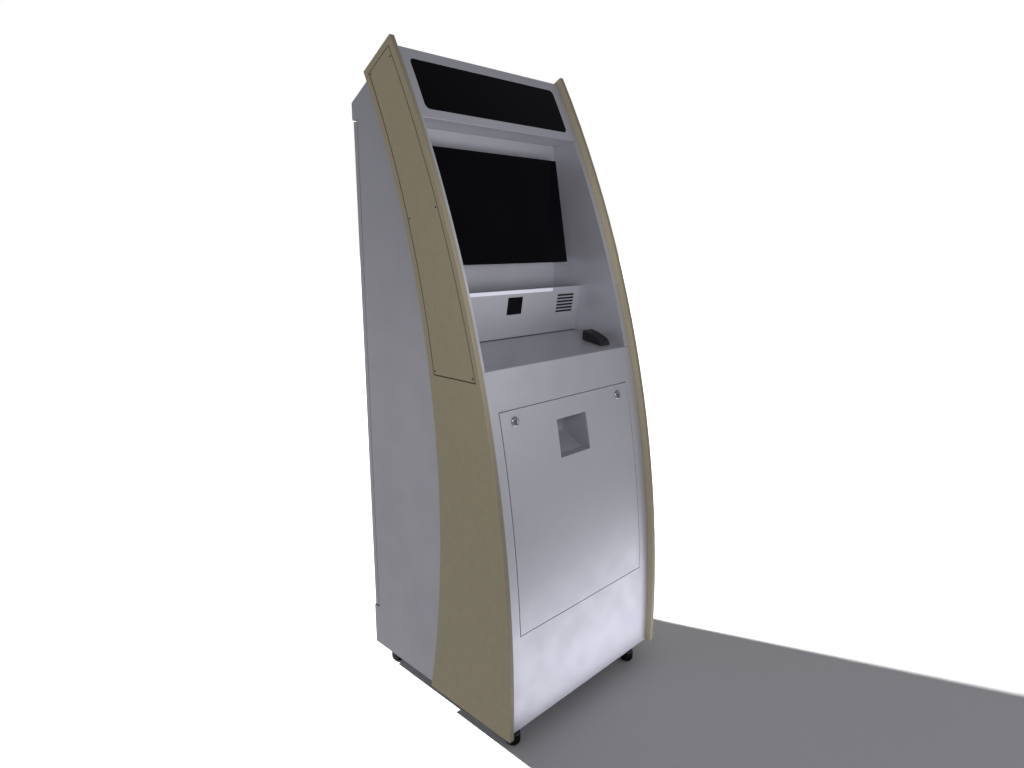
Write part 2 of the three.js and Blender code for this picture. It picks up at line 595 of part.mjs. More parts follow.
function lockPlug(armLength, armTurn) {
  const plug = bar("y", LOCK.plugR, -2.8, LOCK.bodyLength + 4, 0, 0, 24);
  const keyway = block(-0.9, 0.9, -10, 3, -3.6, 3.6);
  const arm = block(-7, armLength, LOCK.bodyLength + 0.8, LOCK.bodyLength + 3.4, -7, 7).rotateY(armTurn);
  return join(cut(plug, keyway), arm);
}
for (const [name, side] of mirrored) {
  const at = lockFrame(side * LOCK.x, LOCK.z, leanAt(LOCK.z), kiosk);
  add(`front_lock_${name}_barrel`, lockBarrel(), STEEL, at);
  add(`front_lock_${name}_plug`, lockPlug(LOCK.arm, side > 0 ? Math.PI : 0), STEEL, at);
}

// ---- rear door ----
function rearDoor() {
  const { z0, z1, y0, y1 } = REAR_DOOR;
  const outer = block(-BODY_X, BODY_X, y0, y1, z0, z1);
  const inner = block(-BODY_X + SHEET, BODY_X - SHEET, y0 - 5, y1 - SHEET, z0 + SHEET, z1 - SHEET);
  const vents = Array.from({ length: VENT.count }, (_, i) => {
    const z = VENT.z + (i - (VENT.count - 1) / 2) * VENT.pitch;
    return block(-VENT.halfLength, VENT.halfLength, y1 - 5, y1 + 5, z - VENT.height / 2, z + VENT.height / 2);
  });
  const lockHole = bar("y", LOCK.bodyR + GAP, y1 - 5, y1 + 5, REAR_LOCK.x, REAR_LOCK.z);
  return cut(outer, inner, lockHole, ...vents);
}
add("rear_door", rearDoor(), GREY);

// Barrel hinges on the rear door's right edge: the middle knuckle turns with the door.
REAR_HINGE.heights.forEach((z, i) => {
  const name = ["lower", "upper"][i];
  const half = REAR_HINGE.length / 2;
  const third = REAR_HINGE.length / 6;
  const { x, y, r, pinR } = REAR_HINGE;
  const leafX = [BODY_X + GAP, BODY_X + GAP + SHEET];
  const knuckle = (from, to) => bar("z", r, from, to, x, y, 16);
  const pin = bar("z", pinR, z - half, z + half, x, y, 16);
  const fixedLeaf = block(...leafX, y - 30, y - 1.2, z - half, z + half);
  const room = block(x - r - 0.5, x + r + 5, y - r - 0.5, y + r + 0.5, z - third - 0.3, z + third + 0.3);
  const fixed = join(cut(join(fixedLeaf, knuckle(z - half, z + half)), room), pin);
  add(`rear_hinge_${name}_fixed_leaf`, fixed, STEEL);
  const doorLeaf = block(...leafX, y + 2, y + 17, z - half, z + half);
  const tongue = block(...leafX, y - 0.5, y + 3, z - third, z + third);
  const ends = [
    bar("z", r + 0.4, z - half - 1, z - third - 0.1, x, y, 16),
    bar("z", r + 0.4, z + third + 0.1, z + half + 1, x, y, 16),
  ];
  const bore = bar("z", pinR + 0.1, z - half, z + half, x, y, 16);
  const turning = cut(join(doorLeaf, tongue, knuckle(z - third, z + third)), bore, ...ends);
  add(`rear_hinge_${name}_door_leaf`, turning, STEEL);
});

const rearLock = new THREE.Group();
rearLock.position.set(REAR_LOCK.x, REAR_DOOR.y1, REAR_LOCK.z);
rearLock.rotation.z = Math.PI;
kiosk.add(rearLock);
add("rear_lock_barrel", lockBarrel(), STEEL, rearLock);
add("rear_lock_plug", lockPlug(REAR_LOCK.arm, Math.PI / 2), STEEL, rearLock);

// ---- cooling fan on the rear door ----
const fan = new THREE.Group();
fan.position.set(0, REAR_DOOR.y1 - SHEET - GAP - FAN.depth, VENT.z);
kiosk.add(fan);
const fanFrame = cut(
  block(-FAN.half, FAN.half, 0, FAN.depth, -FAN.half, FAN.half),
  bar("y", FAN.bore, -5, FAN.depth + 5, 0, 0, 32),
);
const spider = [1, 3, 5, 7].map((i) => block(0, FAN.bore + 2, 0, 3, -2, 2).rotateY((i * Math.PI) / 4));
add("fan_frame", join(fanFrame, ...spider, bar("y", FAN.hubR - 2, 0, 4, 0, 0)), DARK, fan);

function impeller() {
  const hub = bar("y", FAN.hubR, 5, FAN.depth - 3, 0, 0);
  const blades = Array.from({ length: FAN.blades }, (_, i) => {
    const blade = new THREE.BoxGeometry(FAN.bladeR - FAN.hubR + 3, 2, 20);
    blade.rotateX(THREE.MathUtils.degToRad(35));
    blade.translate((FAN.bladeR + FAN.hubR - 3) / 2, FAN.depth / 2 + 0.5, 0);
    return blade.rotateY((i * 2 * Math.PI) / FAN.blades);
  });
  return join(hub, ...blades);
}
add("fan_impeller", impeller(), DARK, fan);

// ---- inside the cabinet ----
const trayX = INNER_X - GAP;
const trayLine = [
  [EQUIPMENT_SHELF.y0, EQUIPMENT_SHELF.z - EQUIPMENT_SHELF.lip],
  [EQUIPMENT_SHELF.y0, EQUIPMENT_SHELF.z + SHEET],
  [EQUIPMENT_SHELF.y1, EQUIPMENT_SHELF.z + SHEET],
];
add("equipment_shelf", foldedSheet(trayLine, -trayX, trayX, -1), GREY);

// Open-frame receipt printer: tray, print block with an outlet chute, and two arms that carry the roll.
function receiptPrinter() {
  const { halfWidth, y0, y1, z } = PRINTER;
  const base = block(-halfWidth, halfWidth, y0, y1, z, z + 3);
  const head = block(-halfWidth, halfWidth, y0 + 18, y0 + 72, z, z + 58);
  const chute = block(-41, 41, y0 + 4, y0 + 9, z - 10, z + 10);
  const guide = block(-halfWidth, halfWidth, y0, y0 + 3, z, z + 40);
  const arms = mirrored.map(([, side]) => {
    const wide = span(side, ROLL.halfWidth + 4, ROLL.halfWidth + 7);
    return block(...wide, ROLL.y - 25, ROLL.y + 25, z, ROLL.z + 12);
  });
  const spindle = bar("x", ROLL.pinR, -ROLL.halfWidth - 6, ROLL.halfWidth + 6, ROLL.y, ROLL.z, 16);
  const leverPin = bar("x", LEVER.pinR, halfWidth - 6, halfWidth + LEVER.thick + 2, LEVER.y, LEVER.z, 16);
  return join(cut(join(base, head, guide), chute), ...arms, spindle, leverPin);
}
add("receipt_printer", receiptPrinter(), DARK);
const rollX = ROLL.halfWidth;
const wound = bar("x", ROLL.r, -rollX, rollX, ROLL.y, ROLL.z, 32);
const rollBore = bar("x", ROLL.coreR, -rollX - 5, rollX + 5, ROLL.y, ROLL.z, 16);
add("paper_roll", cut(wound, rollBore), WHITE);

const leverX = [PRINTER.halfWidth + 1, PRINTER.halfWidth + 1 + LEVER.thick];
const leverHub = bar("x", LEVER.r, ...leverX, LEVER.y, LEVER.z, 16);
const leverArm = block(...leverX, LEVER.y - LEVER.length, LEVER.y, LEVER.z - 3, LEVER.z + 3);
const leverBore = bar("x", LEVER.pinR + 0.1, 0, 100, LEVER.y, LEVER.z, 16);
add("printer_head_lever", cut(join(leverHub, leverArm), leverBore), BLACK);

const floorZ = BODY_BOTTOM + 3 + GAP;
function ventedBox({ x0, x1, y0, y1, height }, z0) {
  const z1 = z0 + height;
  const room = 12;
  const count = 6;
  const grooves = Array.from({ length: count }, (_, i) => {
    const x = lerp(x0 + room, x1 - room, (i + 0.5) / count);
    return block(x - 6, x + 6, y0 + room, y1 - room, z1 - 2, z1 + 5);
  });
  return cut(block(x0, x1, y0, y1, z0, z1), ...grooves);
}
const trayTop = EQUIPMENT_SHELF.z + SHEET + GAP;
add("computer", ventedBox(COMPUTER, trayTop), DARK);
add("power_supply", ventedBox(POWER_SUPPLY, floorZ), STEEL);

// ---- levelling feet ----
function levellingFoot() {
  const { padR, padHeight, stemR, stemTop, nutR } = FOOT;
  const round = 10;
  const rim = steps(0, 90, 5).map((degrees) => {
    const angle = THREE.MathUtils.degToRad(degrees);
    return new THREE.Vector2(padR - round + round * Math.sin(angle), round - round * Math.cos(angle));
  });
  const outline = [
    new THREE.Vector2(0, 0),
    ...rim,
    new THREE.Vector2(padR, padHeight - 6),
    new THREE.Vector2(padR - 5, padHeight),
    new THREE.Vector2(0, padHeight),
  ];
  const pad = new THREE.LatheGeometry(outline, 28).rotateX(Math.PI / 2);
  const stem = bar("z", stemR, padHeight - 4, stemTop, 0, 0, 16);
  const nut = bar("z", nutR, BODY_BOTTOM - GAP - 9, BODY_BOTTOM - GAP, 0, 0, 6);
  return join(pad, stem, nut);
}
for (const [name, x, y] of footPlaces) {
  const at = new THREE.Group();
  at.position.set(x, y, 0);
  kiosk.add(at);
  add(`foot_${name}`, levellingFoot(), BLACK, at);
}

const part = new THREE.Group();
part.add(kiosk);
export default part;
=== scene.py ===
# %% [markdown]
# # Self checkout kiosk
# A curved sheet-metal cabinet stands between two crescent side boards. The imported CAD model is loaded
# first. Most pieces are copies of its solids or take their place from its sizes. The offsets of the small
# fixings and of the paper are chosen, and are named where they are used.

# %% Load the frame
import json
import math

import bmesh
import bpy
from mathutils import Matrix, Vector


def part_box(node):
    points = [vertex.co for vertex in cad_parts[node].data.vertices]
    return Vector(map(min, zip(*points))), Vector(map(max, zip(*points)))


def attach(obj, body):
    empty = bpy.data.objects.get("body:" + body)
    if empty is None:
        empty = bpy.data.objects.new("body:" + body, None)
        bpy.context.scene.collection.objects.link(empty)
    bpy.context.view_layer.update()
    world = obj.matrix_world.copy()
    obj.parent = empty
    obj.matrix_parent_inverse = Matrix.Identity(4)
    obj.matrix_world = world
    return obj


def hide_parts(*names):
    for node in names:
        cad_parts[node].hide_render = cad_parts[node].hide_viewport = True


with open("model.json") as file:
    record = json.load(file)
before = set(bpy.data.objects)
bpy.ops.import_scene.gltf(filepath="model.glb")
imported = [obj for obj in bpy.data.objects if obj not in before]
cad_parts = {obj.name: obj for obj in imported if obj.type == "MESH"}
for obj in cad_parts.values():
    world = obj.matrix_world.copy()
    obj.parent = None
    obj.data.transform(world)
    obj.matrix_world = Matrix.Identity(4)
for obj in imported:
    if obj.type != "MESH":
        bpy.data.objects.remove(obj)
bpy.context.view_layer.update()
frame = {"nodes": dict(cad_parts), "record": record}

record = frame["record"]
scene = bpy.context.scene

# %% [markdown]
# ## Camera and light
# The camera stands off the kiosk's left front corner, about 0.3 m above the shelf, and looks slightly
# down. A sun behind the kiosk throws its shadow forward. It is linked to the floor, so it lights nothing
# else. A soft box lying on the floor makes the lower front the brightest part, a second one stands far in
# front, and two small ones close to the recess lift its back wall and soffit. The camera sees a white
# world, while the kiosk is lit by a dim, slightly blue one.

# %% Camera
CAMERA_PLACE = Vector((-1.3678, -1.3625, 1.3227))
CAMERA_HEADING = math.radians(45)
CAMERA_PITCH = math.radians(12.03)
LENS_MM = 23.457
camera = bpy.data.objects.new("camera", bpy.data.cameras.new("camera"))
camera.data.sensor_width = 36
camera.data.lens = LENS_MM
camera.location = CAMERA_PLACE
camera.rotation_euler = (math.radians(90) - CAMERA_PITCH, 0, -CAMERA_HEADING)
scene.collection.objects.link(camera)
scene.camera = camera
print("camera", camera.location, "lens", LENS_MM)


# %% Stage and lamps
def lamp(name, kind, energy, place, aim, size=None, size_y=None, colour=(1, 1, 1)):
    data = bpy.data.lights.new(name, kind)
    data.energy = energy
    data.color = colour
    if kind == "SUN":
        data.angle = size
    else:
        data.shape = "RECTANGLE"
        data.size = size
        data.size_y = size_y
    obj = bpy.data.objects.new(name, data)
    obj.location = place
    obj.rotation_euler = (Vector(aim) - Vector(place)).to_track_quat("-Z", "Y").to_euler()
    obj.visible_camera = False
    scene.collection.objects.link(obj)
    return obj


floor_mesh = bmesh.new()
bmesh.ops.create_circle(floor_mesh, cap_ends=True, segments=64, radius=60)
floor_data = bpy.data.meshes.new("floor")
floor_mesh.to_mesh(floor_data)
floor = bpy.data.objects.new("floor", floor_data)
scene.collection.objects.link(floor)

SUN_HEADING = Vector((0.397, -0.918, 0))
SUN_HEIGHT = math.radians(40)
sun_way = SUN_HEADING * math.cos(SUN_HEIGHT) - Vector((0, 0, math.sin(SUN_HEIGHT)))
sun = lamp("back_sun", "SUN", 13, -4 * sun_way, (0, 0, 0), size=math.radians(1.5))
floor_only = bpy.data.collections.new("floor_only")
floor_only.objects.link(floor)
sun.light_linking.receiver_collection = floor_only
lamp("floor_box", "AREA", 7.4, (0.62, -0.66, 0.02), (0.62, -0.65, 1.0), 1.7, 0.62, (0.93, 0.93, 1.0))
lamp("front_box", "AREA", 5, (0.2, -3.4, 1.0), (0, 0, 1.1), 1.6, 1.6, (0.97, 0.97, 1.0))
lamp("recess_fill", "AREA", 3.8, (-0.3, -0.8, 1.2), (0.05, 0, 1.7), 0.4, 0.4, (0.97, 0.97, 1.0))
lamp("soffit_fill", "AREA", 0.55, (0.0, -0.42, 1.32), (0.0, -0.1, 1.75), 0.5, 0.1, (0.97, 0.97, 1.0))

world = bpy.data.worlds.new("studio")
world.use_nodes = True
scene.world = world
world_nodes = world.node_tree.nodes
world_links = world.node_tree.links
backdrop = world_nodes["Background"]
backdrop.inputs["Color"].default_value = (0.93, 0.93, 1.0, 1)
backdrop.inputs["Strength"].default_value = 0.31
white = world_nodes.new("ShaderNodeBackground")
white.inputs["Color"].default_value = (1, 1, 1, 1)
seen = world_nodes.new("ShaderNodeLightPath")
choose = world_nodes.new("ShaderNodeMixShader")
world_links.new(seen.outputs["Is Camera Ray"], choose.inputs["Fac"])
world_links.new(backdrop.outputs[0], choose.inputs[1])
world_links.new(white.outputs[0], choose.inputs[2])
world_links.new(choose.outputs[0], world_nodes["World Output"].inputs["Surface"])
scene.view_settings.view_transform = "Standard"

# %% [markdown]
# ## Finishes
# Every finish is worked out in the shader from object coordinates, which are metres in the kiosk's own
# frame, so a pattern has its real scale and stays still when a door moves. A small helper starts each
# one and gives the common parts: a fine bump, and slow, faint changes of colour and gloss.


# %% A finish with colour, gloss and bump
class Finish:
    """A Principled material with object coordinates and short calls for the patterns used here."""

    def __init__(self, name, colour, roughness, metallic=0.0, **sockets):
        self.material = bpy.data.materials.new(name)
        self.material.use_nodes = True
        self.nodes = self.material.node_tree.nodes
        self.links = self.material.node_tree.links
        self.shader = self.nodes["Principled BSDF"]
        self.shader.inputs["Base Color"].default_value = (*colour, 1)
        self.shader.inputs["Roughness"].default_value = roughness
        self.shader.inputs["Metallic"].default_value = metallic
        for socket, value in sockets.items():
            self.shader.inputs[socket.replace("_", " ")].default_value = value
        self.colour = colour
        self.roughness = roughness
        self.place = self.nodes.new("ShaderNodeTexCoord").outputs["Object"]

    def stretched(self, scale):
        mapping = self.nodes.new("ShaderNodeMapping")
        mapping.inputs["Scale"].default_value = scale
        self.links.new(self.place, mapping.inputs["Vector"])
        return mapping.outputs[0]

    def noise(self, scale, detail=3.0, stretch=None):
        node = self.nodes.new("ShaderNodeTexNoise")
        node.inputs["Scale"].default_value = scale
        node.inputs["Detail"].default_value = detail
        self.links.new(self.stretched(stretch) if stretch else self.place, node.inputs["Vector"])
        return node.outputs["Fac"]

    def ramp(self, factor, low, high):
        node = self.nodes.new("ShaderNodeMapRange")
        node.inputs["From Min"].default_value = 0.35
        node.inputs["From Max"].default_value = 0.65
        node.inputs["To Min"].default_value = low
        node.inputs["To Max"].default_value = high
        self.links.new(factor, node.inputs["Value"])
        return node.outputs[0]

    def tint(self, factor, share):
        """The base colour, darker and lighter by a share of itself as the factor goes from low to high."""
        mix = self.nodes.new("ShaderNodeMix")
        mix.data_type = "RGBA"
        mix.inputs["A"].default_value = (*[c * (1 - share) for c in self.colour], 1)
        mix.inputs["B"].default_value = (*[min(1, c * (1 + share)) for c in self.colour], 1)
        self.links.new(self.ramp(factor, 0, 1), mix.inputs["Factor"])
        self.links.new(mix.outputs["Result"], self.shader.inputs["Base Color"])
        return mix

    def gloss(self, factor, spread):
        low, high = self.roughness - spread, self.roughness + spread
        self.links.new(self.ramp(factor, low, high), self.shader.inputs["Roughness"])

    def bump(self, factor, distance, strength=1.0):
        node = self.nodes.new("ShaderNodeBump")
        node.inputs["Distance"].default_value = distance
        node.inputs["Strength"].default_value = strength
        self.links.new(factor, node.inputs["Height"])
        self.links.new(node.outputs[0], self.shader.inputs["Normal"])


# %% [markdown]
# The cabinet is powder coated. The powder melts into a skin with a fine orange peel, so the bump is
# about a millimetre across and a few hundredths deep, and the colour hardly changes. The side boards
# carry a tan decor laminate with a faint upright fibre. Their narrow edges face forward or back, so the
# surface direction picks them out and gives them a darker tan. This is painted shade, set only by the way
# each face points. No wear or dust is added, because such a kiosk is cleaned daily.


# %% Coated metal, boards and plastics
# A darker tan painted on the boards' narrow edges as shade, picked by the way each face points.
EDGE_PAINTED_SHADE = (0.22, 0.195, 0.138)


def powder_coat(name, colour, roughness=0.42):
    finish = Finish(name, colour, roughness, 0.5)
    finish.tint(finish.noise(2.2, 4), 0.025)
    finish.gloss(finish.noise(14, 3), 0.05)
    finish.bump(finish.noise(700, 2), 0.00004, 0.5)
    return finish.material


def decor_board(name, colour):
    finish = Finish(name, colour, 0.55, Specular_IOR_Level=0.35)
    fibre = finish.tint(finish.noise(60, 6, (1, 14, 1.2)), 0.07)
    facing = finish.nodes.new("ShaderNodeSeparateXYZ")
    finish.links.new(finish.nodes["Texture Coordinate"].outputs["Normal"], facing.inputs[0])
    sideways = finish.nodes.new("ShaderNodeMath")
    sideways.operation = "ABSOLUTE"
    finish.links.new(facing.outputs["X"], sideways.inputs[0])
    # Painted shade: faces that don't point along x, which are the narrow edges, get the darker edge tan.
    edge_shade_mix = finish.nodes.new("ShaderNodeMix")
    edge_shade_mix.data_type = "RGBA"
    edge_shade_mix.inputs["A"].default_value = (*EDGE_PAINTED_SHADE, 1)
    finish.links.new(sideways.outputs[0], edge_shade_mix.inputs["Factor"])
    finish.links.new(fibre.outputs["Result"], edge_shade_mix.inputs["B"])
    finish.links.new(edge_shade_mix.outputs["Result"], finish.shader.inputs["Base Color"])
    finish.gloss(finish.noise(30, 4), 0.06)
    finish.bump(finish.noise(420, 4, (1, 5, 0.6)), 0.00005, 0.5)
    return finish.material


def moulded(name, colour, roughness=0.5, grain=900, depth=0.00005):
    finish = Finish(name, colour, roughness)
    finish.tint(finish.noise(9, 3), 0.06)
    finish.gloss(finish.noise(40, 3), 0.06)
    finish.bump(finish.noise(grain, 2), depth, 0.6)
    return finish.material


def bare_metal(name, colour, roughness, stretch, depth=0.00002):
    finish = Finish(name, colour, roughness, 1.0)
    finish.tint(finish.noise(30, 4), 0.05)
    finish.gloss(finish.noise(120, 4, stretch), 0.08)
    finish.bump(finish.noise(500, 3, stretch), depth, 0.5)
    return finish.material


def spangled_steel(name, colour):
    finish = Finish(name, colour, 0.42, 1.0)
    cells = finish.nodes.new("ShaderNodeTexVoronoi")
    cells.inputs["Scale"].default_value = 90
    finish.links.new(finish.place, cells.inputs["Vector"])
    tone = finish.nodes.new("ShaderNodeSeparateColor")
    finish.links.new(cells.outputs["Color"], tone.inputs[0])
    finish.tint(tone.outputs[0], 0.09)
    finish.gloss(tone.outputs[1], 0.1)
    return finish.material


def polished_black(name, colour, roughness=0.06):
    finish = Finish(name, colour, roughness, Specular_IOR_Level=0.04)
    finish.tint(finish.noise(5, 3), 0.1)
    finish.gloss(finish.noise(7, 5), 0.035)
    return finish.material


def diffuser(name, colour, glow):
    finish = Finish(name, colour, 0.35, Emission_Color=(*colour, 1), Emission_Strength=glow)
    finish.tint(finish.noise(25, 2), 0.02)
    finish.gloss(finish.noise(60, 2), 0.05)
    return finish.material


def thermal_paper(name, colour):
    finish = Finish(name, colour, 0.75)
    finish.tint(finish.noise(350, 4, (1, 0.2, 0.2)), 0.03)
    finish.bump(finish.noise(900, 3), 0.00003, 0.4)
    return finish.material


GREY = (0.435, 0.435, 0.475)
TAN = (0.39, 0.34, 0.225)
FINISHES = {
    "cabinet_paint": powder_coat("light_grey_powder_coat", GREY),
    "side_board": decor_board("tan_decor_board", TAN),
    "inner_steel": spangled_steel("galvanised_steel", (0.55, 0.56, 0.58)),
    "display_glass": polished_black("display_glass", (0.002, 0.002, 0.003)),
    "dark_acrylic": polished_black("smoked_acrylic", (0.002, 0.002, 0.003), 0.09),
    "lamp_diffuser": diffuser("milky_diffuser", (0.6, 0.6, 0.68), 0.2),
    "reader_plastic": moulded("reader_plastic", (0.004, 0.004, 0.005), 0.5),
    "module_plastic": moulded("module_plastic", (0.02, 0.02, 0.022), 0.5),
    "lock_chrome": bare_metal("lock_chrome", (0.33, 0.33, 0.35), 0.2, (1, 1, 1), 0.000005),
    "hinge_steel": bare_metal("hinge_steel", (0.5, 0.5, 0.52), 0.34, (1, 1, 8)),
    "paper": thermal_paper("thermal_paper", (0.86, 0.86, 0.83)),
    "foot_black": moulded("foot_black", (0.006, 0.006, 0.007), 0.22, 300, 0.00003),
}
print(len(FINISHES), "finishes")

# %% [markdown]
# The floor shows the camera a pale grey, but bounces light as a darker one, so that it doesn't wash out
# the soft box's gradient on the front. A real floor can't do that: it is a choice made for this view.

# %% Floor finish
floor_finish = Finish("pale_floor", (0.66, 0.66, 0.66), 0.9, Specular_IOR_Level=0.0)
floor_finish.tint(floor_finish.noise(0.8, 2), 0.004)
soft_bounce = floor_finish.nodes.new("ShaderNodeBsdfDiffuse")
soft_bounce.inputs["Color"].default_value = (0.2, 0.2, 0.2, 1)
floor_seen = floor_finish.nodes.new("ShaderNodeLightPath")
floor_mix = floor_finish.nodes.new("ShaderNodeMixShader")
floor_finish.links.new(floor_seen.outputs["Is Camera Ray"], floor_mix.inputs["Fac"])
floor_finish.links.new(soft_bounce.outputs[0], floor_mix.inputs[1])
floor_finish.links.new(floor_finish.shader.outputs[0], floor_mix.inputs[2])
floor_finish.links.new(floor_mix.outputs[0], floor_finish.nodes["Material Output"].inputs["Surface"])
floor_data.materials.append(floor_finish.material)

# %% [markdown]
# ## Sheet metal and boards with real edges
# A knife-sharp edge is the sign of a bare CAD solid. Real sheet has a small radius where it is cut, and
# that thin line of light is what the eye reads as metal. Each panel is a copy of its CAD solid: its
# loose triangles are merged, its flat faces are joined up, and its sharp edges are bevelled.

# %% Bodies, slots and the finishing of one node
BODY_OF = {node: body for body, nodes in record["behaviour"]["bodies"].items() for node in nodes}
SLOT_OF = {row["node"]: row["material_slot"] for row in record["subparts"]}
SHARP = math.radians(22)


def shown(bm, name, body, slot, finish=None, replaces=()):
    """Makes a bmesh into a piece that rides on a body."""
    mesh = bpy.data.meshes.new(name)
    bm.to_mesh(mesh)
    bm.free()
    mesh.materials.append(finish or FINISHES[slot])
    for polygon in mesh.polygons:
        polygon.use_smooth = True
    obj = bpy.data.objects.new(name, mesh)
    scene.collection.objects.link(obj)
    weighted = obj.modifiers.new("even_shading", "WEIGHTED_NORMAL")
    weighted.keep_sharp = True
    weighted.weight = 80
    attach(obj, body)
    if replaces:
        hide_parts(*replaces)
    return obj


def merged_copy(node):
    bm = bmesh.new()
    bm.from_mesh(frame["nodes"][node].data)
    bmesh.ops.remove_doubles(bm, verts=bm.verts, dist=1e-5)
    bmesh.ops.dissolve_limit(bm, angle_limit=math.radians(0.1), verts=bm.verts, edges=bm.edges)
    return bm


def round_edges(bm, radius, segments=2, least=SHARP):
    edges = [e for e in bm.edges if len(e.link_faces) == 2 and e.calc_face_angle() > least]
    bmesh.ops.bevel(
        bm,
        geom=edges,
        offset=radius,
        segments=segments,
        profile=0.5,
        affect="EDGES",
        material=-1,
        clamp_overlap=True,
    )


def finished(node, radius=0.0006, segments=2, finish=None):
    bm = merged_copy(node)
    round_edges(bm, radius, segments)
    return shown(bm, node + "_finished", BODY_OF[node], SLOT_OF[node], finish, [node])


# %% [markdown]
# The two insert panels are set 0.6 mm deeper than in the CAD, where they are flush. Their screw heads can
# then stand on them and still lie within the CAD box. The speakers are given a dark cloth finish, meant
# to be seen through the grille slots.

# %% Every node that keeps its CAD shape
INSERT_SUNK = 0.0006
EDGE = {
    "side_board": (0.0015, 3),
    "cabinet_paint": (0.0007, 2),
    "display_glass": (0.0008, 2),
    "module_plastic": (0.001, 2),
}
PLAIN_EDGE = (0.0005, 2)
LOCKS = ("front_lock_left", "front_lock_right", "rear_lock")
remade = {n for n in BODY_OF if n.startswith("foot_")}
remade |= {lock + "_barrel" for lock in LOCKS} | {"paper_roll", "card_reader"}
CLOTH = moulded("speaker_cloth", (0.006, 0.006, 0.007), 0.8, 900, 0.00008)
for node in BODY_OF:
    if node not in remade:
        cloth = CLOTH if node.endswith("_speaker") else None
        piece = finished(node, *EDGE.get(SLOT_OF[node], PLAIN_EDGE), finish=cloth)
        if node.endswith("_insert_panel"):
            inward = INSERT_SUNK if node.startswith("left") else -INSERT_SUNK
            piece.data.transform(Matrix.Translation((inward, 0, 0)))
print(len(BODY_OF) - len(remade), "nodes finished from their CAD solids")

# %% [markdown]
# ## Turned pieces
# A foot, a lock's collar and a paper roll are all round, so each starts as half of its section and is
# spun a full turn about its own axis, in 64 steps unless another count is given. The spin merges
# its last step with its first, and the normals are recalculated because a spin can leave the skin inside
# out.


# %% A spun section, and where it goes
def spun(section, steps=64):
    """A closed or axis-to-axis section of (radius, height) in metres, spun about Z."""
    bm = bmesh.new()
    verts = [bm.verts.new((radius, 0, height)) for radius, height in section]
    edges = [bm.edges.new(pair) for pair in zip(verts, verts[1:])]
    if section[0][0] > 0 and section[-1][0] > 0:
        edges.append(bm.edges.new((verts[-1], verts[0])))
    bmesh.ops.spin(
        bm,
        geom=verts + edges,
        axis=(0, 0, 1),
        cent=(0, 0, 0),
        angle=math.tau,
        steps=steps,
        use_merge=True,
    )
    bmesh.ops.remove_doubles(bm, verts=bm.verts, dist=1e-6)
    bmesh.ops.recalc_face_normals(bm, faces=bm.faces)
    return bm


def add_to(bm, other, matrix):
    """Adds another bmesh, moved by the matrix, and frees it."""
    scratch = bpy.data.meshes.new("scratch")
    other.transform(matrix)
    other.to_mesh(scratch)
    other.free()
    bm.from_mesh(scratch)
    bpy.data.meshes.remove(scratch)


def mm(*values):
    return [value / 1000 for value in values]


def middle_of(node):
    low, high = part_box(node)
    return [(a + b) / 2 for a, b in zip(low, high)]


# %% [markdown]
# A levelling foot is a glossy moulded pad on a steel stud. The pad's lower rim is rounded so that it
# slides over a tiled floor, a shallow groove parts the rim from the crown, and the stud's thread carries
# a hexagon lock nut. The thread is made as stacked rings: at this size a real helix looks the same and
# costs far more.

# %% Levelling feet
PAD_RADIUS, PAD_HEIGHT, RIM, RIM_STEPS = 20, 38, 10, 8
STUD_RADIUS, STUD_TOP, THREAD_PITCH, THREAD_DEPTH = 6, 92, 1.75, 0.55
NUT_RADIUS, NUT_LOW, NUT_HIGH = 10.5, 55.7, 64.7


def pad_section():
    rim = []
    for step in range(RIM_STEPS + 1):
        angle = math.radians(step * 90 / RIM_STEPS)
        rim.append(mm(PAD_RADIUS - RIM + RIM * math.sin(angle), RIM - RIM * math.cos(angle)))
    groove = [
        mm(PAD_RADIUS, 22),
        mm(PAD_RADIUS - 0.8, 22.6),
        mm(PAD_RADIUS - 0.8, 24.4),
        mm(PAD_RADIUS, 25),
    ]
    crown = [
        mm(PAD_RADIUS, 31),
        mm(PAD_RADIUS - 1.4, 34.5),
        mm(PAD_RADIUS - 5, 37.4),
        mm(PAD_RADIUS - 8, PAD_HEIGHT),
    ]
    return [mm(0, 0)] + rim + groove + crown + [mm(0, PAD_HEIGHT)]


def stud_section():
    section = [mm(0, PAD_HEIGHT - 4), mm(STUD_RADIUS, PAD_HEIGHT - 4)]
    height = PAD_HEIGHT - 3
    while height + THREAD_PITCH < STUD_TOP - 1:
        section.append(mm(STUD_RADIUS - THREAD_DEPTH, height))
        section.append(mm(STUD_RADIUS, height + THREAD_PITCH / 2))
        height += THREAD_PITCH
    return section + [mm(STUD_RADIUS - 1, STUD_TOP), mm(0, STUD_TOP)]


def hexagon_nut():
    bm = bmesh.new()
    bmesh.ops.create_circle(bm, cap_ends=True, segments=6, radius=NUT_RADIUS / 1000)
    top = bmesh.ops.extrude_face_region(bm, geom=bm.faces[:])
    moved = [v for v in top["geom"] if isinstance(v, bmesh.types.BMVert)]
    bmesh.ops.translate(bm, verts=moved, vec=(0, 0, (NUT_HIGH - NUT_LOW) / 1000))
    bmesh.ops.recalc_face_normals(bm, faces=bm.faces)
    round_edges(bm, 0.0006)
    return bm


for node in sorted(n for n in BODY_OF if n.startswith("foot_")):
    x, y, _ = middle_of(node)
    foot = spun(pad_section())
    add_to(foot, spun(stud_section(), 32), Matrix())
    add_to(foot, hexagon_nut(), Matrix.Translation((0, 0, NUT_LOW / 1000)))
    foot.transform(Matrix.Translation((x, y, 0)))
    shown(foot, node + "_turned", BODY_OF[node], "foot_black", replaces=[node])
print("four feet turned")

# %% [markdown]
# A cam lock's collar is a chromed ring with a chamfer outside and a small dish inside, round the plug
# that takes the key. The dish catches a thin bright line. Each collar is spun along Z and then tipped so
# that its axis is the lock's own joint axis, which leans with the door. A front lock's axis may point
# into the cabinet, so there it is turned round to face outward.

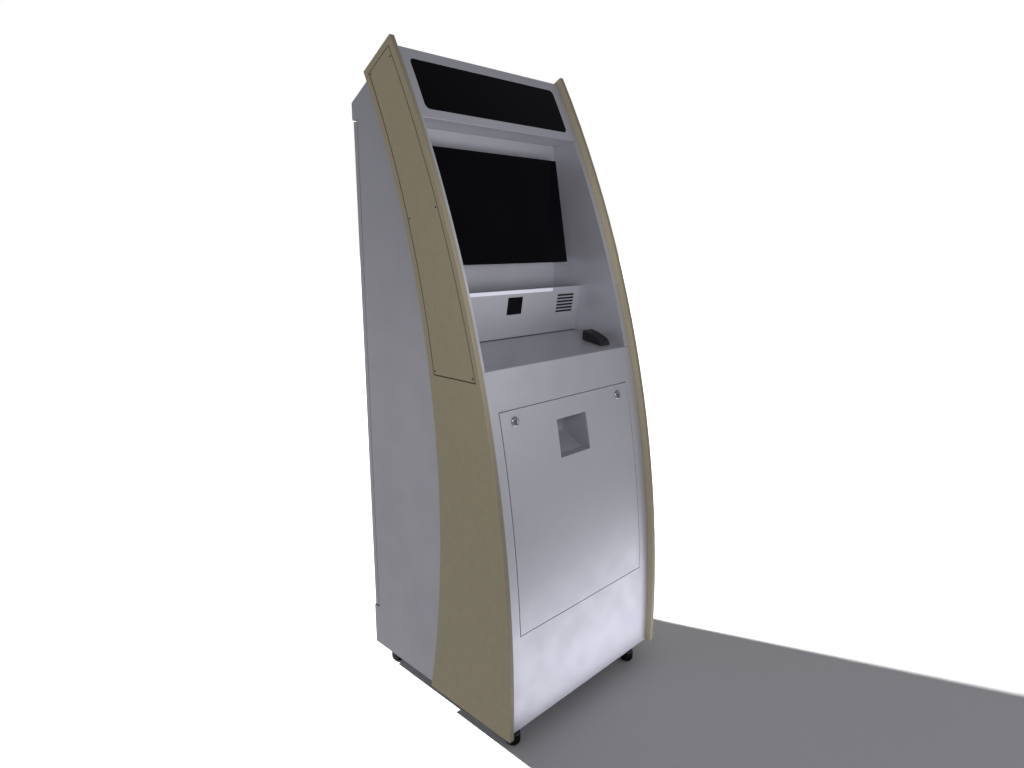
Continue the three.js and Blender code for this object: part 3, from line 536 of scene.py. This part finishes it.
# %% Lock collars
HEAD_RADIUS, BORE_RADIUS, SHANK_RADIUS, SHANK_LENGTH, FACE_OUT = 13, 6.15, 9.5, 20, 3.3
COLLAR = [
    mm(BORE_RADIUS, -SHANK_LENGTH),
    mm(SHANK_RADIUS, -SHANK_LENGTH),
    mm(SHANK_RADIUS, 0.3),
    mm(HEAD_RADIUS - 0.2, 0.3),
    mm(HEAD_RADIUS, 0.6),
    mm(HEAD_RADIUS - 0.4, 1.8),
    mm(HEAD_RADIUS - 2.2, FACE_OUT - 0.25),
    mm(HEAD_RADIUS - 2.8, FACE_OUT),
    mm(BORE_RADIUS + 2.2, FACE_OUT),
    mm(BORE_RADIUS + 1.6, FACE_OUT - 0.5),
    mm(BORE_RADIUS + 0.3, FACE_OUT - 0.6),
    mm(BORE_RADIUS, FACE_OUT - 0.9),
]
JOINT_OF = {joint["child"]: joint for joint in record["behaviour"]["joints"]}
for lock in LOCKS:
    joint = JOINT_OF[lock]
    outward = Vector(joint["axis"])
    if outward.y > 0 and lock != "rear_lock":
        outward = -outward
    turn = outward.to_track_quat("Z", "Y").to_matrix().to_4x4()
    collar = spun(COLLAR)
    collar.transform(Matrix.Translation(Vector(joint["pos_m"])) @ turn)
    barrel = lock + "_barrel"
    shown(collar, barrel + "_turned", BODY_OF[barrel], "lock_chrome", replaces=[barrel])
print("lock collars at", [JOINT_OF[lock]["pos_m"] for lock in LOCKS])

# %% [markdown]
# The receipt roll is thermal paper wound on a card core. It is spun from a ring section with barely
# rounded rims, and the core stands half a millimetre proud of the paper at each end, as wound rolls
# show.

# %% Receipt roll
roll_low, roll_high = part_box("paper_roll")
ROLL_RADIUS = (roll_high[2] - roll_low[2]) / 2
ROLL_HALF = (roll_high[0] - roll_low[0]) / 2
CORE_RADIUS, CORE_WALL = 0.0065, 0.0015
roll_place = Matrix.Translation(middle_of("paper_roll")) @ Matrix.Rotation(math.radians(90), 4, "Y")
roll = spun(
    [
        (CORE_RADIUS, -ROLL_HALF),
        (CORE_RADIUS + CORE_WALL, -ROLL_HALF),
        (CORE_RADIUS + CORE_WALL, -ROLL_HALF + 0.0005),
        (ROLL_RADIUS - 0.0006, -ROLL_HALF + 0.0005),
        (ROLL_RADIUS, -ROLL_HALF + 0.0011),
        (ROLL_RADIUS, ROLL_HALF - 0.0011),
        (ROLL_RADIUS - 0.0006, ROLL_HALF - 0.0005),
        (CORE_RADIUS + CORE_WALL, ROLL_HALF - 0.0005),
        (CORE_RADIUS + CORE_WALL, ROLL_HALF),
        (CORE_RADIUS, ROLL_HALF),
    ],
    96,
)
roll.transform(roll_place)
shown(roll, "paper_roll_wound", "paper_roll", "paper", replaces=["paper_roll"])

# %% [markdown]
# The card reader is a soft wedge of black plastic on the shelf. A generous radius along every edge is
# what tells the eye that it was moulded. Faces within two degrees of each other are joined up first, and
# only edges sharper than 22 degrees are rounded. The slot for the card isn't made.

# %% Card reader
reader = merged_copy("card_reader")
bmesh.ops.dissolve_limit(reader, angle_limit=math.radians(2), verts=reader.verts, edges=reader.edges)
round_edges(reader, 0.0028, 4)
shown(reader, "card_reader_moulded", "cabinet", "reader_plastic", replaces=["card_reader"])

# %% [markdown]
# ## Small fixings
# The insert panels are held by small black screws near their corners and at mid length, and the rear
# hinges by three screws in each leaf. A screw is a low stepped dome with a plain round recess, made by
# insetting the dome's flat top and pushing it in. A driver's hexagon or cross is left out at this size.
# The second step's old cap is still there and closes the recess partway down: extruding a face keeps the
# old one, and only the last old one is deleted here. A better head would delete it after each step.


# %% One screw head, copied to many places
def screw_head(radius, height):
    bm = bmesh.new()
    bmesh.ops.create_circle(bm, cap_ends=True, segments=24, radius=radius)
    face = next(iter(bm.faces))
    for inset, lift in ((0.12, 0.6), (0.22, 0.4)):
        grown = bmesh.ops.extrude_face_region(bm, geom=[face])
        face = [f for f in grown["geom"] if isinstance(f, bmesh.types.BMFace)][0]
        bmesh.ops.translate(bm, verts=face.verts, vec=(0, 0, height * lift))
        bmesh.ops.scale(
            bm,
            verts=face.verts,
            vec=(1 - inset, 1 - inset, 1),
            space=Matrix.Translation(-face.calc_center_median()),
        )
    bmesh.ops.inset_region(bm, faces=[face], thickness=radius * 0.28)
    sunk = bmesh.ops.extrude_face_region(bm, geom=[face])
    floor_of_recess = [f for f in sunk["geom"] if isinstance(f, bmesh.types.BMFace)][0]
    bmesh.ops.translate(bm, verts=floor_of_recess.verts, vec=(0, 0, -height * 0.7))
    bmesh.ops.delete(bm, geom=[f for f in bm.faces if f is face], context="FACES_ONLY")
    bmesh.ops.recalc_face_normals(bm, faces=bm.faces)
    return bm


def screws(name, body, slot, places, outward, radius, height):
    bm = bmesh.new()
    turn = Vector(outward).to_track_quat("Z", "Y").to_matrix().to_4x4()
    for place in places:
        add_to(bm, screw_head(radius, height), Matrix.Translation(place) @ turn)
    return shown(bm, name, body, slot)


def span_at(node, height):
    """The least and the greatest y of a node at a height, from the edges that cross it."""
    mesh = frame["nodes"][node].data
    found = []
    for edge in mesh.edges:
        a, b = (mesh.vertices[i].co for i in edge.vertices)
        if (a.z - height) * (b.z - height) < 0:
            found.append(a.y + (b.y - a.y) * (height - a.z) / (b.z - a.z))
    return min(found), max(found)


SCREW_INSET = 0.006
FRONT_SCREWS, REAR_SCREWS = (1.0, 1.404, 1.77), (1.0, 1.38, 1.743)
for side, sign in (("left", -1), ("right", 1)):
    node = side + "_insert_panel"
    low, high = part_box(node)
    face_x = (high[0] if sign > 0 else low[0]) - sign * INSERT_SUNK
    places = [(face_x, span_at(node, z)[0] + SCREW_INSET, z) for z in FRONT_SCREWS]
    places += [(face_x, span_at(node, z)[1] - SCREW_INSET, z) for z in REAR_SCREWS]
    screws(side + "_insert_screws", "cabinet", "foot_black", places, (sign, 0, 0), 0.0027, 0.0005)
print("insert screws at", [[round(v, 3) for v in place] for place in places])

LEAF_THICK = 0.002
LEAF_SCREW_INSET = {"fixed": 0.014, "door": -0.0045}
LEAF_SCREW_SHARES = (0.14, 0.5, 0.86)
leaf_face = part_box("rear_hinge_lower_fixed_leaf")[0][0] + LEAF_THICK
for level in ("lower", "upper"):
    for leaf, inset in LEAF_SCREW_INSET.items():
        node = "rear_hinge_" + level + "_" + leaf + "_leaf"
        low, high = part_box(node)
        y = low[1] + inset if leaf == "fixed" else high[1] + inset
        heights = [low[2] + share * (high[2] - low[2]) for share in LEAF_SCREW_SHARES]
        places = [(leaf_face, y, z) for z in heights]
        name = node + "_screws"
        screws(name, BODY_OF[node], "hinge_steel", places, (1, 0, 0), 0.0034, 0.0009)

# %% [markdown]
# ## Fan guard
# A finger guard of welded wire covers the fan's inner face. Each ring is a small circle spun about the
# fan's axis, and two bars cross the rings.

# %% Fan guard
fan_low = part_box("fan_frame")[0]
fan_x, _, fan_z = middle_of("fan_frame")
WIRE, BAR_LENGTH = 0.0011, 0.148
GUARD_RINGS = (0.014, 0.026, 0.038, 0.05)
guard = bmesh.new()
for radius in GUARD_RINGS:
    wire = bmesh.new()
    bmesh.ops.create_circle(wire, segments=10, radius=WIRE)
    wire.transform(Matrix.Translation((radius, 0, 0)) @ Matrix.Rotation(math.radians(90), 4, "X"))
    bmesh.ops.spin(
        wire,
        geom=wire.verts[:] + wire.edges[:],
        axis=(0, 0, 1),
        cent=(0, 0, 0),
        angle=math.tau,
        steps=48,
        use_merge=True,
    )
    bmesh.ops.remove_doubles(wire, verts=wire.verts, dist=1e-6)
    bmesh.ops.recalc_face_normals(wire, faces=wire.faces)
    add_to(guard, wire, Matrix())
for turn in (45, 135):
    rod = bmesh.new()
    bmesh.ops.create_cone(rod, cap_ends=True, segments=10, radius1=WIRE, radius2=WIRE, depth=BAR_LENGTH)
    tip = Matrix.Rotation(math.radians(turn), 4, "Z") @ Matrix.Rotation(math.radians(90), 4, "Y")
    add_to(guard, rod, Matrix.Translation((0, 0, 2 * WIRE)) @ tip)
guard_place = Matrix.Translation((fan_x, fan_low[1] - 3.2 * WIRE, fan_z))
guard.transform(guard_place @ Matrix.Rotation(math.radians(-90), 4, "X"))
shown(guard, "fan_guard", "rear_door", "hinge_steel")

# %% [markdown]
# A web of paper leaves the top of the roll and slopes forward and down into the printer. It is a strip
# extruded sideways and then given the thickness of paper. It is a fixed piece, so it doesn't unwind when
# the roll turns. Its sag also takes it into the top of the roll, where the two overlap: a straight start
# along the roll's tangent would clear it.

# %% Web of paper
PAPER_THICK, PAPER_MARGIN, PAPER_SAG, PAPER_CLEAR = 0.00012, 0.001, 0.004, 0.0004
WEB_STEPS, WEB_END_FORWARD, WEB_END_HEIGHT = 18, 0.0215, 0.064
printer_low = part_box("receipt_printer")[0]
roll_middle = Vector(middle_of("paper_roll"))
web_start = roll_middle + Vector((0, 0, ROLL_RADIUS + PAPER_CLEAR))
web_end = Vector((0, roll_low[1] - WEB_END_FORWARD, printer_low[2] + WEB_END_HEIGHT))
web = bmesh.new()
row = []
for step in range(WEB_STEPS + 1):
    share = step / WEB_STEPS
    sag = PAPER_SAG * math.sin(math.pi * share)
    point = web_start.lerp(web_end, share) - Vector((0, 0, sag))
    row.append(web.verts.new((-ROLL_HALF + PAPER_MARGIN, point.y, point.z)))
strip = [web.edges.new(pair) for pair in zip(row, row[1:])]
swept = bmesh.ops.extrude_edge_only(web, edges=strip)
far_side = [v for v in swept["geom"] if isinstance(v, bmesh.types.BMVert)]
bmesh.ops.translate(web, verts=far_side, vec=(2 * ROLL_HALF - 2 * PAPER_MARGIN, 0, 0))
bmesh.ops.recalc_face_normals(web, faces=web.faces)
bmesh.ops.solidify(web, geom=web.faces[:], thickness=PAPER_THICK)
shown(web, "paper_web", "cabinet", "paper")
print("fan guard and paper web made")
